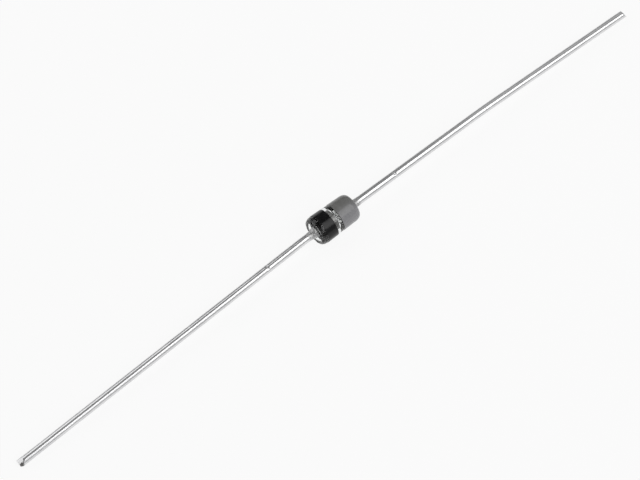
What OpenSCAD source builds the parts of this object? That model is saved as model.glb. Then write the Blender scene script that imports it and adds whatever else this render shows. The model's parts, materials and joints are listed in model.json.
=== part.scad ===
// Axial-lead zener diode in a fused glass body, lying on a flat surface.
// Millimetres. X runs along the body with the cathode at -X, Z is up, and the origin is on the surface
// that the diode lies on, straight below the middle of the glass.

/* [Glass sleeve] */
// Outer diameter of the bare glass at its middle
glass_d = 2.52; // [2.46:0.02:2.9]
// How much thinner the glass is at its anode end than at its cathode end
glass_taper = 0.2; // [0:0.02:0.3]
// Length of the glass from end to end
glass_len = 4.1; // [3.8:0.1:5.2]
// Length of the fire-rounded shoulder at each end
shoulder_len = 0.55; // [0.5:0.01:0.7]
// Drop of the shoulder from the wall in to the crest of the lip
shoulder_drop = 0.28; // [0.2:0.02:0.3]
// Depth of the cup inside the lip, down to the slug
cup_depth = 0.42; // [0.3:0.02:0.5]
// Radius of the lip's inner edge
lip_r = 0.1; // [0.04:0.02:0.12]

/* [Slugs] */
// Diameter of the slugs, which fill the bore of the glass up to the cup at each end
slug_d = 1.2; // [1.1:0.05:1.3]
// Chamfer round each slug's outer face
slug_edge = 0.04; // [0.02:0.01:0.06]

/* [Chip] */
// Side of the square silicon chip
die_w = 0.74; // [0.5:0.02:0.76]
// Thickness of the silicon chip
die_t = 0.2; // [0.1:0.01:0.3]
// Diameter of the silver contact bump
bump_d = 0.5; // [0.3:0.05:0.7]
// Height of the silver contact bump
bump_t = 0.08; // [0.03:0.01:0.1]
// Distance of the chip's middle from the middle of the glass, towards the anode
chip_shift = 0.15; // [0:0.01:0.3]

/* [Band and coat] */
// Thickness of the black ink band
band_t = 0.02; // [0.01:0.01:0.06]
// Distance from the cathode shoulder to the band
band_inset = 0.02; // [0.02:0.02:0.3]
// Width of the black band
band_w = 1.05; // [0.6:0.01:1.4]
// Width of the clear window between band and coat
window_w = 0.66; // [0.3:0.02:0.8]
// Thickness of the grey lacquer coat
coat_t = 0.02; // [0.02:0.01:0.08]

/* [Leads] */
// Diameter of the lead wire
lead_d = 0.71; // [0.5:0.01:0.86]
// Diameter of the weld bead where it meets the slug
bead_d = 0.92; // [0.88:0.02:1]
// Length of the weld bead from the slug to the plain wire
bead_len = 1; // [0.8:0.05:1.05]
// Length of the bead's round collar before it flares down to the wire
bead_collar = 0.42; // [0.2:0.02:0.6]
// Slant of the shear cut at each tip, in degrees from a square cut
cut_angle = 40; // [10:1:60]
// Number of small turns that make up each bend
bend_steps = 4; // [1:1:8]

/* [Cathode lead] */
// Reach of the lead past the end of the glass
cathode_reach = 30.7; // [25.4:0.1:38]
// Distance from the end of the glass to the start of the bend
cathode_bend_start = 0.8; // [0.6:0.1:13]
// Radius of the bend
cathode_bend_r = 20; // [5:1:50]
// Sideways offset of the tip from the body's axis
cathode_sway = 0.72; // [0:0.02:0.9]
// Height of the shear cut's lower edge above the wire's axis
cathode_cut_edge = 0; // [-0.2:0.05:0.2]

/* [Anode lead] */
// Reach of the lead past the end of the glass
anode_reach = 30.9; // [25.4:0.1:38]
// Distance from the end of the glass to the start of the bend
anode_bend_start = 13; // [0.6:0.1:13]
// Radius of the bend
anode_bend_r = 50; // [5:1:50]
// Sideways offset of the tip from the body's axis
anode_sway = 0.06; // [0:0.02:0.9]
// Height of the shear cut's lower edge above the wire's axis
anode_cut_edge = -0.2; // [-0.2:0.05:0.2]

/* [Hidden] */
$fn = 96;

slug_r = slug_d / 2;
lead_r = lead_d / 2;
bead_r = bead_d / 2;
glass_end = glass_len / 2;

// Radius of the bare glass at a place along the body
function wall_r(place) = (glass_d - glass_taper * place / glass_len) / 2;

// The slugs end at the bottom of the cups
slug_end = glass_end - cup_depth;

// The wall is straight up to the shoulders. The lip's crest is inside the wall there
straight_end = glass_end - shoulder_len;
function crest_r(side) = wall_r(side * straight_end) - shoulder_drop;

// The slugs press on the chip and its bump from both sides
stack_half = (die_t + bump_t) / 2;
die_start = chip_shift - stack_half;

// Where the layers start and end along the body
band_start = band_inset - straight_end;
band_end = band_start + band_w;
coat_start = band_end + window_w;

// Height of the body's axis when its thickest layer lies on the surface
axis_z = max(wall_r(band_start) + band_t, wall_r(coat_start) + coat_t);

// Radius of the flare that runs from the bead's collar into the plain wire
bead_step = bead_r - lead_r;
flare_len = bead_len - bead_collar;
flare_r = (bead_step ^ 2 + flare_len ^ 2) / (2 * bead_step);

// Turns a profile drawn as radius across and axial place up into a solid round the body's axis
module on_axis() {
    translate([0, 0, axis_z]) rotate([0, 90, 0]) rotate_extrude() children();
}

// Quarter of an ellipse, in the corner where both coordinates are positive
module quarter(across, along) {
    intersection() {
        scale([across, along]) circle(1);
        square([across, along]);
    }
}

// Half section of one end of the glass past the straight wall: shoulder, lip and the cup inside them
module end_profile(side) {
    crest = crest_r(side);
    cup = crest - lip_r - slug_r;
    rim = shoulder_len - lip_r;
    translate([crest, 0]) quarter(shoulder_drop, shoulder_len);
    translate([crest - lip_r, 0]) square([lip_r, rim]);
    translate([crest, rim]) mirror([1, 0]) quarter(lip_r, lip_r);
    translate([slug_r, 0]) difference() {
        square([cup, rim]);
        translate([0, rim]) scale([cup, cup_depth - lip_r]) circle(1);
    }
}

// Half section of the straight wall, from the bore outwards
module wall_profile() {
    polygon([
        [slug_r, -straight_end],
        [wall_r(-straight_end), -straight_end],
        [wall_r(straight_end), straight_end],
        [slug_r, straight_end]
    ]);
}

// Half section of a layer on the straight wall, between two places along the body
module layer_profile(thickness, from, to) {
    polygon([
        [wall_r(from), from],
        [wall_r(from) + thickness, from],
        [wall_r(to) + thickness, to],
        [wall_r(to), to]
    ]);
}

module glass_sleeve() {
    color("azure", 0.4) on_axis() {
        wall_profile();
        translate([0, straight_end]) end_profile(1);
        translate([0, -straight_end]) mirror([0, 1]) end_profile(-1);
    }
}

// Half section of a slug from its chip face to its chamfered outer face
module slug_profile(chip_face) {
    polygon([
        [0, chip_face],
        [slug_r, chip_face],
        [slug_r, slug_end - slug_edge],
        [slug_r - slug_edge, slug_end],
        [0, slug_end]
    ]);
}

module cathode_slug() {
    color("dimgray") mirror([1, 0, 0]) on_axis() slug_profile(stack_half - chip_shift);
}

module anode_slug() {
    color("dimgray") on_axis() slug_profile(stack_half + chip_shift);
}

module zener_die() {
    color("darkslategray") translate([die_start, -die_w / 2, axis_z - die_w / 2])
        cube([die_t, die_w, die_w]);
}

module contact_bump() {
    color("silver") translate([die_start + die_t, 0, axis_z]) rotate([0, 90, 0])
        cylinder(d = bump_d, h = bump_t);
}

module cathode_band() {
    color("black") on_axis() layer_profile(band_t, band_start, band_end);
}

module grey_coat() {
    color("gray") on_axis() {
        layer_profile(coat_t, coat_start, straight_end);
        translate([crest_r(1), straight_end]) difference() {
            quarter(shoulder_drop + coat_t, shoulder_len + coat_t);
            scale([shoulder_drop, shoulder_len]) circle(1);
        }
    }
}

// Half section of the weld bead, its flare and the straight root of a lead
module root_profile(root_len) {
    difference() {
        square([bead_r, bead_len]);
        translate([lead_r + flare_r, bead_len]) circle(flare_r);
    }
    translate([0, bead_len]) square([lead_r, root_len - bead_len]);
}

// Block that trims a stretch of wire to the mitre it shares with the next, where the wire turns
module mitre_cut(turn) {
    rotate([0, turn / 2, 0]) translate([0, -lead_d, -lead_d]) cube(2 * lead_d);
}

// Straight stretch of wire along X, mitred at its start and, unless trim is false, at its end too
module stretch(length, turn, trim = true) {
    difference() {
        translate([-lead_r, 0, 0]) rotate([0, 90, 0])
            cylinder(r = lead_r, h = length + (trim ? lead_d : lead_r));
        mirror([1, 0, 0]) mitre_cut(turn);
        if (trim) translate([length, 0, 0]) mitre_cut(turn);
    }
}

// Wedge that shears off the upper side of a tip at a slant
module shear_cut(cut_edge) {
    translate([0, -lead_d, cut_edge]) rotate([0, -cut_angle, 0]) cube(2 * lead_d);
}

// The wire past the root: the bend as short mitred stretches, then the straight run to the sheared tip
module bend_and_run(steps, turn, step_len, run, cut_edge, up_turn) {
    rotate([0, turn, 0])
        if (steps == 1) difference() {
            stretch(step_len / 2 + run, turn, trim = false);
            translate([step_len / 2 + run, 0, 0]) rotate([up_turn, 0, 0]) shear_cut(cut_edge);
        }
        else {
            stretch(step_len, turn);
            translate([step_len, 0, 0]) bend_and_run(steps - 1, turn, step_len, run, cut_edge, up_turn);
        }
}

// One lead along +X: bead and root, one bend, then a straight run whose tip comes down to the surface
module lead(reach, bend_start, bend_r, sway, cut_edge) {
    drop = axis_z - lead_r;
    away = norm([drop, sway]);
    along = reach - bend_start;
    run = sqrt(along ^ 2 + away ^ 2 - 2 * away * bend_r);
    bend_turn = atan2(along, bend_r - away) - atan2(run, bend_r);
    turn = bend_turn / bend_steps;
    step_len = 2 * bend_r * tan(turn / 2);
    first_kink = glass_end + bend_start + step_len / 2;
    roll = atan2(sway, drop);
    translate([0, 0, axis_z]) rotate([-roll, 0, 0]) {
        difference() {
            translate([slug_end, 0, 0]) rotate([0, 90, 0]) rotate_extrude()
                root_profile(first_kink - slug_end + lead_r);
            translate([first_kink, 0, 0]) mitre_cut(turn);
        }
        translate([first_kink, 0, 0]) bend_and_run(bend_steps, turn, step_len, run, cut_edge, roll);
    }
}

module cathode_lead() {
    color("gainsboro") mirror([1, 0, 0])
        lead(cathode_reach, cathode_bend_start, cathode_bend_r, cathode_sway, cathode_cut_edge);
}

module anode_lead() {
    color("gainsboro") lead(anode_reach, anode_bend_start, anode_bend_r, anode_sway, anode_cut_edge);
}

glass_sleeve();
cathode_slug();
anode_slug();
zener_die();
contact_bump();
cathode_band();
grey_coat();
cathode_lead();
anode_lead();
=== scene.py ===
"""Looks of an axial-lead zener diode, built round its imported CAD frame.

Metres. X runs along the body with the cathode at -X, Z is up, and the diode lies on the floor at Z = 0.
"""

import json
import math
from collections import namedtuple

import bmesh
import bpy
from mathutils import Matrix, Vector, noise


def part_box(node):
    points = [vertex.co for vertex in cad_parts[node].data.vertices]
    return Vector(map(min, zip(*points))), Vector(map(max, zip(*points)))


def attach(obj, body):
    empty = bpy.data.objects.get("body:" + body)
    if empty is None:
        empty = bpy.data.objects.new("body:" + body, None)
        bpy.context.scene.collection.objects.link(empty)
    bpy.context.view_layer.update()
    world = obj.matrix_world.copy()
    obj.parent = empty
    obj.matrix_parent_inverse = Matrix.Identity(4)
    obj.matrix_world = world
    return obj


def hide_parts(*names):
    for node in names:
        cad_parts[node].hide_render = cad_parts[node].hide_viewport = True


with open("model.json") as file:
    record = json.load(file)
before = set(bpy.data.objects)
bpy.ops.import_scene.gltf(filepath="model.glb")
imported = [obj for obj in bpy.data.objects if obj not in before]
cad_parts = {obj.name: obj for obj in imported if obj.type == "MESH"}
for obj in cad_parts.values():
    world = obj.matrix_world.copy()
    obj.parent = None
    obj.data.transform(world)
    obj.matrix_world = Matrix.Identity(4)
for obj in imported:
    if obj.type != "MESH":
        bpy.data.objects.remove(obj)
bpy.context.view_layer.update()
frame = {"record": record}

MM = 0.001

# Sizes that the frame gives
PINS = {mount["name"]: mount for mount in frame["record"]["mounts"]}
glass_low, glass_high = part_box("glass_sleeve")
anode_slug_low, anode_slug_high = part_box("anode_slug")
band_low, band_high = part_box("cathode_band")
coat_low, coat_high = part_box("grey_coat")
AXIS_Z = (glass_low.z + glass_high.z) / 2
GLASS_END = glass_high.x
SLUG_R = (anode_slug_high.z - anode_slug_low.z) / 2
SLUG_OUTER = anode_slug_high.x
CATHODE_CHIP_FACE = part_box("cathode_slug")[1].x
ANODE_CHIP_FACE = anode_slug_low.x
BEAD_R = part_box("anode_lead")[1].y
LEAD_R = PINS["anode_pin"]["dims"]["r_mm"] * MM

# Sizes that the frame can't give, as in the CAD source
SHOULDER_LEN = 0.55 * MM
SHOULDER_DROP = 0.28 * MM
LIP_R = 0.1 * MM
SLUG_EDGE = 0.04 * MM
BEAD_LEN = 1 * MM
BEAD_COLLAR = 0.42 * MM
CUT_ANGLE = math.radians(40)
CATHODE_BEND_R = 20 * MM
ANODE_BEND_R = 50 * MM
CATHODE_CUT_EDGE = 0 * MM
ANODE_CUT_EDGE = -0.2 * MM

# The wall is straight between the shoulders, and thins towards the anode
STRAIGHT_END = GLASS_END - SHOULDER_LEN
SHOULDER_PATH = math.pi / 2 * math.sqrt((SHOULDER_LEN ** 2 + SHOULDER_DROP ** 2) / 2)
COAT_THICK = coat_high.x - GLASS_END
CATHODE_WALL_R = (glass_high.z - glass_low.z) / 2
COAT_WALL_R = (coat_high.z - coat_low.z) / 2 - COAT_THICK
TAPER = (CATHODE_WALL_R - COAT_WALL_R) / (coat_low.x + STRAIGHT_END)

# Small forms that only the looks have: eased edges, and slight waves of glass ends, ink and lacquer
EDGE_EASE = 0.012 * MM
BUMP_RIM_SHARE = 0.6
END_WAVE = 0.012 * MM
BAND_EDGE = 0.05 * MM
BAND_WAVE = 0.03 * MM
COAT_EDGE = 0.08 * MM
COAT_WAVE = 0.02 * MM

# Seeds of the waves, and how they mix coarse and fine noise round the body
CATHODE_END_SEED = 3.1
ANODE_END_SEED = 8.4
BAND_SEED = 1.7
COAT_SEED = 6.2
SECOND_EDGE_SEED = 5
WAVE_SCALE = 1.3
FINE_SCALE = 2.7
FINE_SHARE = 0.5

# Fused pieces reach this far into the glass, so that no film of air shows between them
FUSED = 0.004 * MM

# Fineness of the meshes
ROUND_STEPS = 160
BUMP_ROUND_STEPS = 64
WIRE_STEPS = 64
SHOULDER_STEPS = 28
LIP_STEPS = 14
CUP_STEPS = 24
WALL_STEPS = 24
LAYER_STEPS = 60
SLUG_STEPS = 16
RIM_STEPS = 8
BEVEL_STEPS = 2
RING_GAP_MIN = 0.012 * MM
RING_GAP_GROWTH = 0.14
RING_GAP_MAX = 0.5 * MM
MERGE_DISTANCE = 0.0002 * MM
SHARP_ANGLE = math.radians(35)

# Where the metals change along the body: dull to bright past the weld, plated to bare, and bare to sealed
WELD_DULL_TO = SLUG_OUTER + 0.9 * BEAD_LEN
WELD_BRIGHT_FROM = SLUG_OUTER + 1.25 * BEAD_LEN
PLATED_TO = 0.008 * MM
BARE_FROM = 0.016 * MM
BARE_TO = 0.5 * MM
SEALED_FROM = 0.9 * MM

# The near tip's cut face, where its core shows, painted dark as shade: how far in from the tip it ends, and
# how far in front of the tip it starts
PAINTED_SHADE_TO = 0.2 * MM
TIN_FROM = 0.34 * MM
PAINTED_SHADE_SIDE = 0.1 * MM
TIN_SIDE = 0.04 * MM

# Painted shade at the back of the lacquer and painted light at its front, changing between these places
LACQUER_PAINTED_SHADE_Y = 0.1 * MM
LACQUER_PAINTED_LIGHT_Y = -0.9 * MM

# Noise values mostly lie between these, whatever the pattern
NOISE_LOW = 0.3
NOISE_HIGH = 0.7
NOISE_ROUGHNESS = 0.55

# Sockets of a colour mix, whose names it shares with the other kinds of mix
MIX_FIRST = 6
MIX_SECOND = 7
MIX_RESULT = 2

# The photograph's frame, in pixels, and where the body's middle stands in it
PICTURE_W = 640
PICTURE_H = 480
BODY_PIXEL_X = 332.95
BODY_PIXEL_Y = 219.38
FOCAL_PIXELS = 2360
SENSOR_MM = 36
CAMERA_TURN = math.radians(39.45)
CAMERA_ELEVATION = math.radians(62.55)
CAMERA_DISTANCE = 195.4 * MM
CLIP_START = 1 * MM

# The floor's half side and tone, and the share of plain white that a camera sees in it
FLOOR_HALF = 3.0
FLOOR_TONE = 0.9
FLOOR_WHITE_SHARE = 0.9

# Brightness of the room towards the front and the back, and the directions between which it changes
ROOM_FRONT = 0.42
ROOM_BACK = 0.12
ROOM_FRONT_Y = -0.6
ROOM_BACK_Y = 0.1
SOFTBOX_HEIGHT = 0.35
SIDE_LIGHT_TURN = math.radians(-14.4)


def wall_r(along):
    """Radius of the bare glass at a place along the straight wall."""
    return CATHODE_WALL_R - TAPER * (along + STRAIGHT_END)


BAND_THICK = (band_high.z - band_low.z) / 2 - wall_r(band_low.x)


# Mesh helpers

def mesh_object(name, build):
    """Object from a function that fills a bmesh, with outward normals and sharp edges at real corners."""
    shape = bmesh.new()
    build(shape)
    bmesh.ops.remove_doubles(shape, verts=shape.verts, dist=MERGE_DISTANCE)
    bmesh.ops.recalc_face_normals(shape, faces=shape.faces)
    mesh = bpy.data.meshes.new(name)
    shape.to_mesh(mesh)
    shape.free()
    mesh.shade_smooth()
    mesh.set_sharp_from_angle(angle=SHARP_ANGLE)
    piece = bpy.data.objects.new(name, mesh)
    bpy.context.scene.collection.objects.link(piece)
    return piece


def skin(shape, rings, closed_rings, closed_sweep):
    """Faces between neighbouring rings of points."""
    rows = [[shape.verts.new(point) for point in ring] for ring in rings]
    pairs = list(zip(rows, rows[1:]))
    if closed_sweep:
        pairs.append((rows[-1], rows[0]))
    for near, far in pairs:
        count = len(near)
        for i in range(count if closed_rings else count - 1):
            j = (i + 1) % count
            shape.faces.new((near[i], near[j], far[j], far[i]))
    return rows


def revolve(name, section, closed, steps=ROUND_STEPS):
    """Piece turned about the body's axis; section(angle) gives its (along, out) points at that angle."""
    def build(shape):
        rings = []
        for i in range(steps):
            angle = 2 * math.pi * i / steps
            rings.append([Vector((along, out * math.sin(angle), AXIS_Z + out * math.cos(angle)))
                          for along, out in section(angle)])
        skin(shape, rings, closed_rings=closed, closed_sweep=True)
    return mesh_object(name, build)


def arc(along, out, reach, rise, start, stop, steps):
    """Elliptic arc in the half section, without its last point; angles are degrees from the axis outward."""
    points = []
    for i in range(steps):
        angle = math.radians(start + (stop - start) * i / steps)
        points.append((along + reach * math.cos(angle), out + rise * math.sin(angle)))
    return points


def line(start, stop, steps):
    """Points from start towards stop, without the last."""
    return [(start[0] + (stop[0] - start[0]) * i / steps, start[1] + (stop[1] - start[1]) * i / steps)
            for i in range(steps)]


def ripple(angle, seed, size):
    """Smooth seeded wobble round the body, about -size to size."""
    spot = Vector((math.cos(angle) * WAVE_SCALE, math.sin(angle) * WAVE_SCALE, seed))
    return size * (noise.noise(spot) + FINE_SHARE * noise.noise(spot * FINE_SCALE))


# Body pieces

def end_section(side, end):
    """One end of the glass from the straight wall over shoulder and lip into the cup, down to the slug."""
    crest = wall_r(side * STRAIGHT_END) - SHOULDER_DROP
    straight = end - SHOULDER_LEN
    lip = end - LIP_R
    points = [
        *arc(straight, crest, SHOULDER_LEN, SHOULDER_DROP, 90, 0, SHOULDER_STEPS),
        *arc(lip, crest, LIP_R, LIP_R, 0, -90, LIP_STEPS),
        *arc(lip, SLUG_R, lip - SLUG_OUTER, crest - LIP_R - SLUG_R, 90, 180, CUP_STEPS),
        (SLUG_OUTER, SLUG_R),
    ]
    return [(side * along, out) for along, out in points]


def glass_section(angle):
    """Closed section of the glass, its fire-rounded ends a little uneven."""
    cathode_end = end_section(-1, GLASS_END - abs(ripple(angle, CATHODE_END_SEED, END_WAVE)))
    anode_end = end_section(1, GLASS_END - abs(ripple(angle, ANODE_END_SEED, END_WAVE)))
    return [
        *cathode_end[::-1],
        *line(cathode_end[0], anode_end[0], WALL_STEPS)[1:],
        *anode_end,
        *line(anode_end[-1], cathode_end[-1], WALL_STEPS)[1:],
    ]


def outline(place):
    """Point and outward normal of the glass surface, by distance along its outline from the body's middle."""
    side = math.copysign(1, place)
    past = abs(place) - STRAIGHT_END
    if past <= 0:
        return (place, wall_r(place)), (0, 1)
    turn = math.pi / 2 * min(past / SHOULDER_PATH, 1)
    crest = wall_r(side * STRAIGHT_END) - SHOULDER_DROP
    point = (side * (STRAIGHT_END + SHOULDER_LEN * math.sin(turn)), crest + SHOULDER_DROP * math.cos(turn))
    normal = Vector((side * math.sin(turn) / SHOULDER_LEN, math.cos(turn) / SHOULDER_DROP)).normalized()
    return point, tuple(normal)


def layer(name, thick, start, stop, edge, wave, seed):
    """Thin layer on the glass between two places on its outline, with rounded and slightly wavy edges."""
    shares = [0.5 - 0.5 * math.cos(math.pi * i / LAYER_STEPS) for i in range(LAYER_STEPS + 1)]

    def section(angle):
        first = start + ripple(angle, seed, wave)
        last = stop + ripple(angle, seed + SECOND_EDGE_SEED, wave)
        top, under = [], []
        for share in shares:
            place = first + (last - first) * share
            (along, out), normal = outline(place)
            rise = min(1, max(0, min(place - first, last - place)) / edge)
            height = thick * math.sqrt(1 - (1 - rise) ** 2)
            top.append((along + normal[0] * height, out + normal[1] * height))
            under.append((along - normal[0] * FUSED, out - normal[1] * FUSED))
        return top + under[::-1]

    return revolve(name, section, closed=True)


def slug(name, side, chip_face):
    """Metal plug: a turned cylinder with a chamfered outer face."""
    radius = SLUG_R + FUSED
    outer = side * SLUG_OUTER
    chamfer = side * (SLUG_OUTER - SLUG_EDGE)

    def section(angle):
        return [
            (chip_face, 0),
            (chip_face, radius - EDGE_EASE),
            *line((chip_face + side * EDGE_EASE, radius), (chamfer, radius), SLUG_STEPS),
            (chamfer, radius),
            (outer, radius - SLUG_EDGE),
            (outer, BEAD_R),
            (outer, 0),
        ]

    return revolve(name, section, closed=False)


def chip():
    """Square silicon chip with slightly eased edges."""
    low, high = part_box("zener_die")

    def build(shape):
        made = bmesh.ops.create_cube(shape, size=1)
        for vert in made["verts"]:
            share = vert.co + Vector((0.5, 0.5, 0.5))
            vert.co = Vector([a + (b - a) * s for a, b, s in zip(low, high, share)])
        bmesh.ops.bevel(shape, geom=shape.edges[:], offset=EDGE_EASE, segments=BEVEL_STEPS, affect="EDGES")

    return mesh_object("silicon_chip", build)


def bump():
    """Silver contact button on the chip, domed at its rim."""
    low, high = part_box("contact_bump")
    radius = (high.z - low.z) / 2
    rim = (high.x - low.x) * BUMP_RIM_SHARE

    def section(angle):
        dome = arc(high.x - rim, radius - rim, rim, rim, 90, 0, RIM_STEPS)
        return [(low.x, 0), (low.x, radius), *dome, (high.x, radius - rim), (high.x, 0)]

    return revolve("silver_bump", section, closed=False, steps=BUMP_ROUND_STEPS)


# Leads

class Lead:
    """One lead's centre line: a root on the body's axis, one bend, and a straight run down to the floor."""

    def __init__(self, pin, side, bend_r):
        point = Vector(PINS[pin]["pos_m"])
        heading = Vector(PINS[pin]["axis"]).normalized()
        corner = point + heading * ((AXIS_Z - point.z) / heading.z)
        self.tip = point + heading * ((LEAD_R - point.z) / heading.z)
        self.out = Vector((side, 0, 0))
        self.heading = heading
        self.start = Vector((side * SLUG_OUTER, 0, AXIS_Z))
        self.bend_r = bend_r
        turn = self.out.angle(heading)
        reach = bend_r * math.tan(turn / 2)
        self.root = (corner - self.start).length - reach
        self.bend = bend_r * turn
        run = (self.tip - corner).length - reach
        self.length = self.root + self.bend + run
        self.inward = (heading - self.out * heading.dot(self.out)).normalized()

    def at(self, place):
        """Centre and heading at a distance from the slug."""
        if place <= self.root:
            return self.start + self.out * place, self.out
        if place >= self.root + self.bend:
            return self.tip - self.heading * (self.length - place), self.heading
        angle = (place - self.root) / self.bend_r
        centre = self.start + self.out * self.root + self.inward * self.bend_r
        centre += self.bend_r * (self.out * math.sin(angle) - self.inward * math.cos(angle))
        return centre, self.out * math.cos(angle) + self.inward * math.sin(angle)


# A slanting cut through a tip: the side that it takes off, its edge on the tip, its slant and its rounding
Cut = namedtuple("Cut", "angle edge slant ease")

# A mark that a clamp left: its place along the wire and its angle round it, with its width, spread and depth
Mark = namedtuple("Mark", "place angle width spread depth")


def bead_radius(place):
    """Radius of the weld bead and its flare at a distance from the slug."""
    step = BEAD_R - LEAD_R
    flare = BEAD_LEN - BEAD_COLLAR
    flare_r = (step ** 2 + flare ** 2) / (2 * step)
    if place <= BEAD_COLLAR:
        return BEAD_R
    if place >= BEAD_LEN:
        return LEAD_R
    return LEAD_R + flare_r - math.sqrt(flare_r ** 2 - (BEAD_LEN - place) ** 2)


def lead_places(lead, mark):
    """Distances along a lead for its rings, close together at the bead, the clamp mark and the tip."""
    spots = [0, BEAD_COLLAR, BEAD_LEN, mark.place, lead.length]
    places = [0]
    while places[-1] < lead.length:
        near = min(abs(places[-1] - spot) for spot in spots)
        places.append(places[-1] + min(RING_GAP_MIN + RING_GAP_GROWTH * near, RING_GAP_MAX))
    places[-1] = lead.length
    return places


def soft_min(value, limit, ease):
    """Smaller of two values, with a rounded change from one to the other."""
    share = max(ease - abs(value - limit), 0) / ease
    return min(value, limit) - share * share * ease / 4


def sheared(across, up, back, cut):
    """Point of a wire's section, pushed in where a cut takes it off; back is its distance from the tip."""
    side = across * math.sin(cut.angle) + up * math.cos(cut.angle)
    taken = side - soft_min(side, cut.edge + back / math.tan(cut.slant), cut.ease)
    return across - taken * math.sin(cut.angle), up - taken * math.cos(cut.angle)


def dent(place, angle, mark):
    """Depth that a clamp mark takes off the wire at this place and angle."""
    off_place = (place - mark.place) / mark.width
    off_angle = math.remainder(angle - mark.angle, 2 * math.pi) / mark.spread
    return mark.depth * math.exp(-off_place ** 2 - off_angle ** 2)


def wire(name, lead, cuts, mark):
    """Lead as a swept round wire with its weld bead, clamp mark and sheared tip."""
    def ring(place):
        centre, heading = lead.at(place)
        across = heading.cross(Vector((0, 0, 1))).normalized()
        upward = across.cross(heading)
        points = []
        for i in range(WIRE_STEPS):
            angle = 2 * math.pi * i / WIRE_STEPS
            radius = bead_radius(place) - dent(place, angle, mark)
            sideways, height = radius * math.sin(angle), radius * math.cos(angle)
            for cut in cuts:
                sideways, height = sheared(sideways, height, lead.length - place, cut)
            points.append(centre + across * sideways + upward * height)
        return points

    def build(shape):
        rings = [ring(place) for place in lead_places(lead, mark)]
        rows = skin(shape, rings, closed_rings=True, closed_sweep=False)
        shape.faces.new(rows[0])
        shape.faces.new(rows[-1])

    return mesh_object(name, build)


# Material helpers

def material(name, values):
    """New material with constants set on its shader; gives the material, its node tree and the shader."""
    made = bpy.data.materials.new(name)
    made.use_nodes = True
    tree = made.node_tree
    shader = tree.nodes["Principled BSDF"]
    for key, value in values.items():
        shader.inputs[key].default_value = value
    return made, tree, shader


def add(tree, kind, values=None, **settings):
    """New node with its settings and unlinked input values."""
    node = tree.nodes.new(kind)
    for key, value in settings.items():
        setattr(node, key, value)
    for key, value in (values or {}).items():
        node.inputs[key].default_value = value
    return node


def link(tree, shader, sources):
    """Links each source to the shader's input of that name."""
    for name, source in sources.items():
        tree.links.new(source, shader.inputs[name])


def place_noise(tree, scale, detail, stretch=(1, 1, 1)):
    """Noise on the piece's own coordinates, in features per metre, stretched along the axes."""
    coords = add(tree, "ShaderNodeTexCoord")
    mapping = add(tree, "ShaderNodeMapping", {"Scale": stretch})
    values = {"Scale": scale, "Detail": detail, "Roughness": NOISE_ROUGHNESS}
    pattern = add(tree, "ShaderNodeTexNoise", values)
    tree.links.new(coords.outputs["Object"], mapping.inputs["Vector"])
    tree.links.new(mapping.outputs["Vector"], pattern.inputs["Vector"])
    return pattern.outputs["Fac"]


def ramp(tree, source, low, high, start=NOISE_LOW, stop=NOISE_HIGH):
    """Source mapped from start..stop to low..high."""
    values = {"From Min": start, "From Max": stop, "To Min": low, "To Max": high}
    node = add(tree, "ShaderNodeMapRange", values)
    tree.links.new(source, node.inputs["Value"])
    return node.outputs["Result"]


def tint(tree, source, dark, light):
    """Noise turned into a colour between dark and light."""
    node = add(tree, "ShaderNodeValToRGB")
    first, last = node.color_ramp.elements
    first.position = NOISE_LOW
    first.color = (*dark, 1)
    last.position = NOISE_HIGH
    last.color = (*light, 1)
    tree.links.new(source, node.inputs["Fac"])
    return node.outputs["Color"]


def relief(tree, source, depth):
    """Bump normal from a source, with its depth in metres."""
    node = add(tree, "ShaderNodeBump", {"Strength": 1.0, "Distance": depth})
    tree.links.new(source, node.inputs["Height"])
    return node.outputs["Normal"]


def blend(tree, share, low, high):
    """Mix of two number sources by a share."""
    node = add(tree, "ShaderNodeMix", data_type="FLOAT")
    tree.links.new(share, node.inputs["Factor"])
    tree.links.new(low, node.inputs["A"])
    tree.links.new(high, node.inputs["B"])
    return node.outputs["Result"]


def blend_colour(tree, share, low, high):
    """Mix of two colour sources by a share."""
    node = add(tree, "ShaderNodeMix", data_type="RGBA")
    tree.links.new(share, node.inputs["Factor"])
    tree.links.new(low, node.inputs[MIX_FIRST])
    tree.links.new(high, node.inputs[MIX_SECOND])
    return node.outputs[MIX_RESULT]


def both(tree, first, second):
    """Product of two shares."""
    node = add(tree, "ShaderNodeMath", operation="MULTIPLY")
    tree.links.new(first, node.inputs[0])
    tree.links.new(second, node.inputs[1])
    return node.outputs["Value"]


def place_along(tree, axis):
    """The piece's own coordinate along an axis."""
    coords = add(tree, "ShaderNodeTexCoord")
    split = add(tree, "ShaderNodeSeparateXYZ")
    tree.links.new(coords.outputs["Object"], split.inputs["Vector"])
    return split.outputs[axis]


def far_along(tree, middle):
    """Distance along the body from a middle, whichever way."""
    off = add(tree, "ShaderNodeMath", {1: middle}, operation="SUBTRACT")
    size = add(tree, "ShaderNodeMath", operation="ABSOLUTE")
    tree.links.new(place_along(tree, "X"), off.inputs[0])
    tree.links.new(off.outputs["Value"], size.inputs[0])
    return size.outputs["Value"]


# Materials

def clear_glass():
    """Clear glass with a faint uneven tone."""
    made, tree, shader = material("clear_glass", {"Transmission Weight": 1, "IOR": 1.5, "Roughness": 0})
    flow = place_noise(tree, scale=500, detail=2)
    link(tree, shader, {
        "Base Color": tint(tree, flow, dark=(0.96, 0.975, 0.97), light=(0.99, 0.995, 0.99)),
    })
    return made


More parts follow.
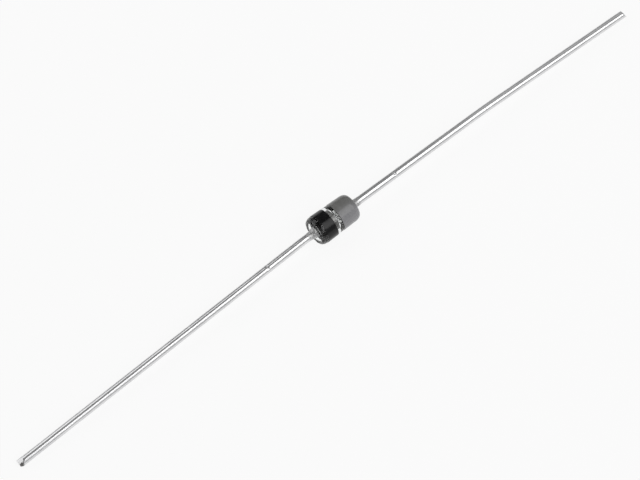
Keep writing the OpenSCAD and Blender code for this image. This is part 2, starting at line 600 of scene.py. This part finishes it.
def tinned_wire(nipped):
    """Bright drawn wire with a dull weld bead, and painted shade on the core bared at the front of the nipped
    tip.
    """
    made, tree, shader = material("tinned_wire", {"Metallic": 0.75})
    patches = place_noise(tree, scale=1600, detail=5, stretch=(0.35, 1, 1))
    drawn = place_noise(tree, scale=14000, detail=3, stretch=(0.04, 1, 1))
    pits = place_noise(tree, scale=3800, detail=3)
    bead = ramp(tree, far_along(tree, 0), 1, 0, WELD_DULL_TO, WELD_BRIGHT_FROM)
    # Painted shade on the tip's front cut face: these two masks mark where the core shows dark
    end = ramp(tree, place_along(tree, "X"), 1, 0, nipped.x + PAINTED_SHADE_TO, nipped.x + TIN_FROM)
    front = ramp(tree, place_along(tree, "Y"), 1, 0, nipped.y - PAINTED_SHADE_SIDE, nipped.y - TIN_SIDE)
    tin = tint(tree, patches, dark=(0.68, 0.68, 0.69), light=(0.82, 0.82, 0.825))
    # The core's near-black tone is painted shade, standing in for the shadowed floor that the cut face
    # reflects
    painted_shade_core = tint(tree, pits, dark=(0.05, 0.048, 0.046), light=(0.11, 0.106, 0.102))
    weld = tint(tree, pits, dark=(0.36, 0.36, 0.36), light=(0.70, 0.70, 0.70))
    plain = blend_colour(tree, both(tree, end, front), tin, painted_shade_core)
    smooth = ramp(tree, patches, 0.18, 0.12)
    matt = ramp(tree, pits, 0.55, 0.35)
    link(tree, shader, {
        "Base Color": blend_colour(tree, bead, plain, weld),
        "Roughness": blend(tree, bead, smooth, matt),
        "Normal": relief(tree, drawn, depth=0.0012 * MM),
    })
    return made


def slug_metal():
    """Turned metal, plated on the chip faces, bare by the window and dark with oxide where it is sealed."""
    made, tree, shader = material("slug_metal", {"Metallic": 1})
    turned = place_noise(tree, scale=2500, detail=4, stretch=(6, 1, 1))
    out = far_along(tree, (CATHODE_CHIP_FACE + ANODE_CHIP_FACE) / 2)
    face = (ANODE_CHIP_FACE - CATHODE_CHIP_FACE) / 2
    plated = ramp(tree, out, 1, 0, face + PLATED_TO, face + BARE_FROM)
    sealed = ramp(tree, out, 0, 1, BARE_TO, SEALED_FROM)
    plating = tint(tree, turned, dark=(0.72, 0.72, 0.71), light=(0.82, 0.82, 0.81))
    bare = tint(tree, turned, dark=(0.100, 0.099, 0.098), light=(0.140, 0.138, 0.135))
    oxide = tint(tree, turned, dark=(0.022, 0.022, 0.022), light=(0.034, 0.033, 0.032))
    link(tree, shader, {
        "Base Color": blend_colour(tree, plated, blend_colour(tree, sealed, bare, oxide), plating),
        "Roughness": ramp(tree, turned, 0.22, 0.36),
    })
    return made


def silicon():
    """Sawn silicon with a metallic sheen."""
    made, tree, shader = material("silicon", {"Metallic": 0.9})
    sawn = place_noise(tree, scale=9000, detail=3)
    link(tree, shader, {
        "Base Color": tint(tree, sawn, dark=(0.48, 0.49, 0.50), light=(0.66, 0.67, 0.68)),
        "Roughness": ramp(tree, sawn, 0.2, 0.4),
    })
    return made


def silver():
    """Bright silver with a fine grain."""
    made, tree, shader = material("silver", {"Metallic": 1})
    grain = place_noise(tree, scale=12000, detail=3)
    link(tree, shader, {
        "Base Color": tint(tree, grain, dark=(0.72, 0.72, 0.70), light=(0.88, 0.88, 0.86)),
        "Roughness": ramp(tree, grain, 0.2, 0.35),
    })
    return made


def black_ink():
    """Glossy black ink, slightly uneven."""
    made, tree, shader = material("black_ink", {"IOR": 1.38})
    cloud = place_noise(tree, scale=2200, detail=5)
    link(tree, shader, {
        "Base Color": tint(tree, cloud, dark=(0.002, 0.002, 0.0022), light=(0.004, 0.004, 0.0045)),
        "Roughness": ramp(tree, cloud, 0.16, 0.26),
        "Normal": relief(tree, cloud, depth=0.003 * MM),
    })
    return made


def grey_lacquer():
    """Grey lacquer, cloudy, with painted shade at the back and painted light at the front, and a fine peel.
    """
    made, tree, shader = material("grey_lacquer", {"IOR": 1.42})
    cloud = place_noise(tree, scale=1800, detail=5)
    peel = place_noise(tree, scale=5200, detail=2)
    # Painted light and shade: the lacquer is darker at the back and paler at the front, by place along Y
    front = ramp(tree, place_along(tree, "Y"), 0, 1, LACQUER_PAINTED_SHADE_Y, LACQUER_PAINTED_LIGHT_Y)
    # The first tone is the painted shade at the back, the second the painted light at the front, each tinted
    # as by a different lamp
    thick = tint(tree, cloud, dark=(0.186, 0.186, 0.180), light=(0.212, 0.212, 0.208))
    painted_light_front = tint(tree, cloud, dark=(0.302, 0.301, 0.313), light=(0.334, 0.333, 0.346))
    link(tree, shader, {
        "Base Color": blend_colour(tree, front, thick, painted_light_front),
        "Roughness": ramp(tree, cloud, 0.14, 0.22),
        "Normal": relief(tree, peel, depth=0.002 * MM),
    })
    return made


# Stage

def any_ray(tree, kinds):
    """Largest of the named Light Path outputs."""
    path = add(tree, "ShaderNodeLightPath")
    source = path.outputs[kinds[0]]
    for kind in kinds[1:]:
        larger = add(tree, "ShaderNodeMath", operation="MAXIMUM")
        tree.links.new(source, larger.inputs[0])
        tree.links.new(path.outputs[kind], larger.inputs[1])
        source = larger.outputs["Value"]
    return source


def white_floor():
    """Pale matte floor that camera, mirror and glass rays see nearly white, with the shadow kept."""
    made = bpy.data.materials.new("white_floor")
    made.use_nodes = True
    tree = made.node_tree
    tree.nodes.clear()
    matte = add(tree, "ShaderNodeBsdfDiffuse", {"Color": (FLOOR_TONE, FLOOR_TONE, FLOOR_TONE, 1)})
    white = add(tree, "ShaderNodeEmission", {"Color": (1, 1, 1, 1), "Strength": 1})
    share = add(tree, "ShaderNodeMath", {1: FLOOR_WHITE_SHARE}, operation="MULTIPLY")
    mixed = add(tree, "ShaderNodeMixShader")
    result = add(tree, "ShaderNodeOutputMaterial")
    seen = any_ray(tree, ["Is Camera Ray", "Is Glossy Ray", "Is Transmission Ray"])
    tree.links.new(seen, share.inputs[0])
    tree.links.new(share.outputs["Value"], mixed.inputs["Fac"])
    tree.links.new(matte.outputs["BSDF"], mixed.inputs[1])
    tree.links.new(white.outputs["Emission"], mixed.inputs[2])
    tree.links.new(mixed.outputs["Shader"], result.inputs["Surface"])
    return made


def floor():
    """Wide plain floor under the diode."""
    half = FLOOR_HALF
    mesh = bpy.data.meshes.new("floor")
    corners = [(-half, -half, 0), (half, -half, 0), (half, half, 0), (-half, half, 0)]
    mesh.from_pydata(corners, [], [(0, 1, 2, 3)])
    plane = bpy.data.objects.new("floor", mesh)
    bpy.context.scene.collection.objects.link(plane)
    plane.data.materials.append(white_floor())


def studio():
    """Grey room, darker at the back, which looks white straight from the camera and through glass."""
    world = bpy.data.worlds.new("studio")
    world.use_nodes = True
    bpy.context.scene.world = world
    tree = world.node_tree
    tree.nodes.clear()
    direction = add(tree, "ShaderNodeTexCoord")
    split = add(tree, "ShaderNodeSeparateXYZ")
    room = add(tree, "ShaderNodeBackground", {"Color": (1, 1, 1, 1)})
    white = add(tree, "ShaderNodeBackground", {"Color": (1, 1, 1, 1), "Strength": 1})
    mixed = add(tree, "ShaderNodeMixShader")
    result = add(tree, "ShaderNodeOutputWorld")
    tree.links.new(direction.outputs["Generated"], split.inputs["Vector"])
    level = ramp(tree, split.outputs["Y"], ROOM_FRONT, ROOM_BACK, ROOM_FRONT_Y, ROOM_BACK_Y)
    tree.links.new(level, room.inputs["Strength"])
    tree.links.new(any_ray(tree, ["Is Camera Ray", "Is Transmission Ray"]), mixed.inputs["Fac"])
    tree.links.new(room.outputs["Background"], mixed.inputs[1])
    tree.links.new(white.outputs["Background"], mixed.inputs[2])
    tree.links.new(mixed.outputs["Shader"], result.inputs["Surface"])


def softbox(name, left, right, front, back, turn, radiance):
    """Flat soft light over the floor, turned about the diode's middle, its power from how bright it looks."""
    light = bpy.data.lights.new(name, "AREA")
    light.shape = "RECTANGLE"
    light.size = right - left
    light.size_y = back - front
    light.energy = radiance * math.pi * light.size * light.size_y
    lamp = bpy.data.objects.new(name, light)
    facing = Matrix.Rotation(turn, 4, "Z")
    lamp.matrix_world = facing @ Matrix.Translation(((left + right) / 2, (front + back) / 2, SOFTBOX_HEIGHT))
    bpy.context.scene.collection.objects.link(lamp)


def camera():
    """Camera at the photograph's viewing angle, looking a little past the body's middle."""
    turn, raised = CAMERA_TURN, CAMERA_ELEVATION
    right = Vector((math.cos(turn), -math.sin(turn), 0))
    ahead = Vector((math.cos(raised) * math.sin(turn), math.cos(raised) * math.cos(turn), -math.sin(raised)))
    upward = right.cross(ahead)
    per_pixel = CAMERA_DISTANCE / FOCAL_PIXELS
    middle = Vector((0, 0, AXIS_Z))
    place = middle - ahead * CAMERA_DISTANCE
    place -= right * (BODY_PIXEL_X - PICTURE_W / 2) * per_pixel
    place -= upward * (PICTURE_H / 2 - BODY_PIXEL_Y) * per_pixel
    data = bpy.data.cameras.new("camera")
    data.sensor_width = SENSOR_MM
    data.lens = FOCAL_PIXELS * SENSOR_MM / PICTURE_W
    data.clip_start = CLIP_START
    eye = bpy.data.objects.new("camera", data)
    eye.matrix_world = Matrix((right, upward, -ahead)).transposed().to_4x4()
    eye.matrix_world.translation = place
    bpy.context.scene.collection.objects.link(eye)
    bpy.context.scene.camera = eye


def dress(piece, finish, node):
    """Gives a piece its material, and sets it in the frame in place of a CAD node."""
    piece.data.materials.append(finish)
    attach(piece, "root")
    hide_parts(node)


# The scene: camera, floor and light

camera()
floor()
studio()
softbox("right_softbox", left=0.095, right=0.6, front=-0.2, back=0.093, turn=-CAMERA_TURN, radiance=1.9)
softbox("front_softbox", left=0.2, right=0.45, front=-0.55, back=-0.27, turn=-CAMERA_TURN, radiance=1.3)
softbox("back_softbox", left=-1.3, right=0.102, front=0.2, back=0.95, turn=0, radiance=1.1)
softbox("side_softbox", left=0.11, right=0.5, front=0.12, back=0.9, turn=SIDE_LIGHT_TURN, radiance=0.3)
bpy.context.scene.view_settings.view_transform = "Standard"

# The body

metal = slug_metal()
dress(revolve("glass_body", glass_section, closed=True), clear_glass(), "glass_sleeve")
dress(slug("slug_cathode", -1, CATHODE_CHIP_FACE), metal, "cathode_slug")
dress(slug("slug_anode", 1, ANODE_CHIP_FACE), metal, "anode_slug")
dress(chip(), silicon(), "zener_die")
dress(bump(), silver(), "contact_bump")

band = layer("black_band", BAND_THICK, band_low.x, band_high.x, BAND_EDGE, BAND_WAVE, BAND_SEED)
dress(band, black_ink(), "cathode_band")
coat_stop = STRAIGHT_END + SHOULDER_PATH
coat = layer("grey_lacquer", COAT_THICK, coat_low.x, coat_stop, COAT_EDGE, COAT_WAVE, COAT_SEED)
dress(coat, grey_lacquer(), "grey_coat")

# The leads: the near tip is sheared steeply and nipped from the front, the far tip is cut more squarely

cathode = Lead("cathode_pin", -1, CATHODE_BEND_R)
anode = Lead("anode_pin", 1, ANODE_BEND_R)
cathode_cuts = [
    Cut(angle=0, edge=CATHODE_CUT_EDGE, slant=1.3 * CUT_ANGLE, ease=0.05 * MM),
    Cut(angle=math.radians(-80), edge=0.06 * MM, slant=CUT_ANGLE, ease=0.04 * MM),
]
anode_cuts = [Cut(angle=0, edge=ANODE_CUT_EDGE, slant=0.7 * CUT_ANGLE, ease=0.15 * MM)]
glass_edge = GLASS_END - SLUG_OUTER
cathode_mark = Mark(place=glass_edge + 5.0 * MM, angle=-0.3, width=0.1 * MM, spread=0.5, depth=0.034 * MM)
anode_mark = Mark(place=glass_edge + 4.6 * MM, angle=0.36, width=0.09 * MM, spread=0.4, depth=0.045 * MM)
tin = tinned_wire(cathode.tip)
dress(wire("wire_cathode", cathode, cathode_cuts, cathode_mark), tin, "cathode_lead")
dress(wire("wire_anode", anode, anode_cuts, anode_mark), tin, "anode_lead")
